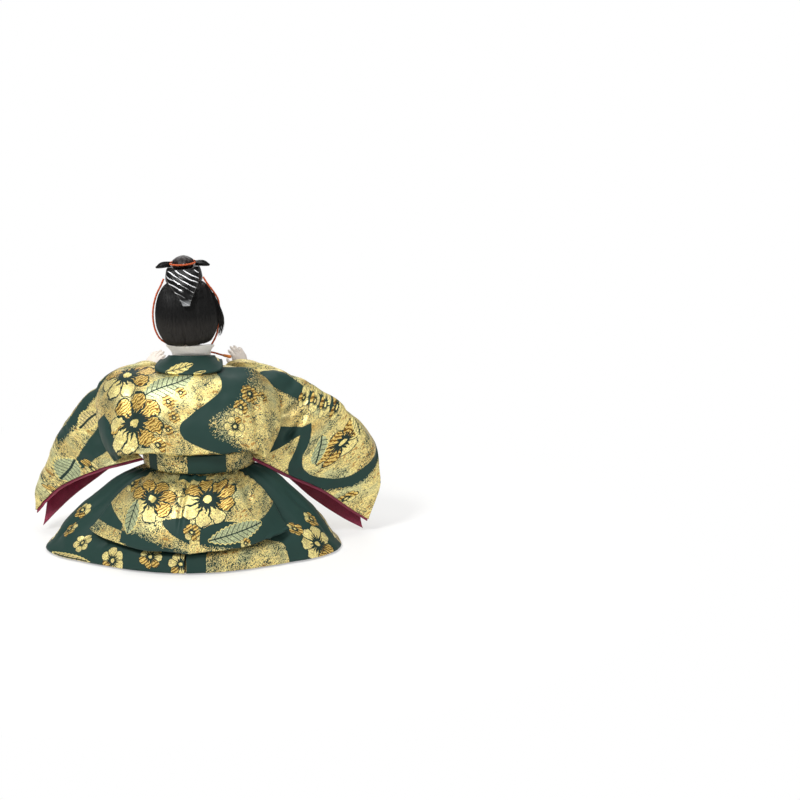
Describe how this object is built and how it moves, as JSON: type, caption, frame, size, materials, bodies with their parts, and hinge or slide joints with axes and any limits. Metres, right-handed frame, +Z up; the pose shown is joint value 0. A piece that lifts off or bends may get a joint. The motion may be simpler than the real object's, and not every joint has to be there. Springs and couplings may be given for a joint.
{
  "type": "seated hina doll",
  "caption": "Seated court-musician hina doll in green and gold brocade with puffed trousers, wide lined sleeves, bobbed hair and a small black corded hat; its head lifts out and turns.",
  "frame": {"origin": "on the floor plane, on the underside of the base board, 3 mm in front of the neck", "axes": "+Z up, -Y the way the face looks, +X towards the doll's own left hand"},
  "size_m": [0.1792, 0.118, 0.1482],
  "materials": {
    "base_wood": "sawn, unfinished",
    "straw": "bundled straw, matt",
    "binding_thread": "twisted hemp",
    "wire": "annealed wire",
    "padding": "cotton wadding, matt",
    "brocade": "figured silk brocade with gold thread, soft sheen",
    "collar_brocade": "dark green brocade with gold leaves",
    "white_collar": "plain white crepe",
    "lining": "wine-red plain silk",
    "skin_coat": "burnished shell-white coating",
    "hair": "combed black silk thread",
    "hat_lacquer": "black lacquered gauze and satin, gloss",
    "orange_cord": "braided silk cord",
    "neck_wood": "turned softwood"
  },
  "bodies": {
    "torso": {"base_board": "base_wood", "body_core": "straw", "upper_binding": "binding_thread", "lower_binding": "binding_thread", "arm_wire": "wire", "left_arm_padding": "padding", "right_arm_padding": "padding", "left_leg_roll": "padding", "right_leg_roll": "padding", "left_trouser_leg": "brocade", "right_trouser_leg": "brocade", "trouser_seat": "brocade", "waist_band": "brocade", "waist_knot": "brocade", "jacket_back": "brocade", "jacket_front_left": "brocade", "jacket_front_right": "brocade", "outer_collar": "collar_brocade", "inner_collar": "white_collar", "left_sleeve": "brocade", "left_sleeve_lining": "lining", "right_sleeve": "brocade", "right_sleeve_lining": "lining"},
    "neck_stick": {"neck_stick": "neck_wood", "chin_cord_left": "orange_cord", "chin_cord_right": "orange_cord", "chin_knot": "orange_cord", "cord_tail": "orange_cord"},
    "head": {"head": "skin_coat", "hair_back": "hair", "hair_side_left": "hair", "hair_side_right": "hair", "hair_fringe": "hair", "hat_cap": "hat_lacquer", "hat_crown": "hat_lacquer", "hat_bag": "hat_lacquer", "hat_wing_left": "hat_lacquer", "hat_wing_right": "hat_lacquer", "hat_peak": "hat_lacquer", "hat_cord": "orange_cord"},
    "left_hand": {"left_hand": "skin_coat"},
    "right_hand": {"right_hand": "skin_coat"}
  },
  "joints": [
    {"name": "head_lift", "type": "slide", "parent": "torso", "child": "neck_stick", "axis": [0.0523, 0, 0.9986], "range_m": [0, 0.031]},
    {"name": "head_turn", "type": "hinge", "parent": "neck_stick", "child": "head", "pos_m": [0.0005, 0.003, 0.098], "axis": [0.0523, 0, 0.9986], "range_deg": [-20, 20]},
    {"name": "left_hand_turn", "type": "hinge", "parent": "torso", "child": "left_hand", "pos_m": [0.02588, -0.02368, 0.0817], "axis": [-0.3976, -0.6111, 0.6845], "range_deg": [-40, 40]},
    {"name": "right_hand_turn", "type": "hinge", "parent": "torso", "child": "right_hand", "pos_m": [-0.02537, -0.02266, 0.08372], "axis": [0.4219, -0.5388, 0.7291], "range_deg": [-40, 40]}
  ]
}
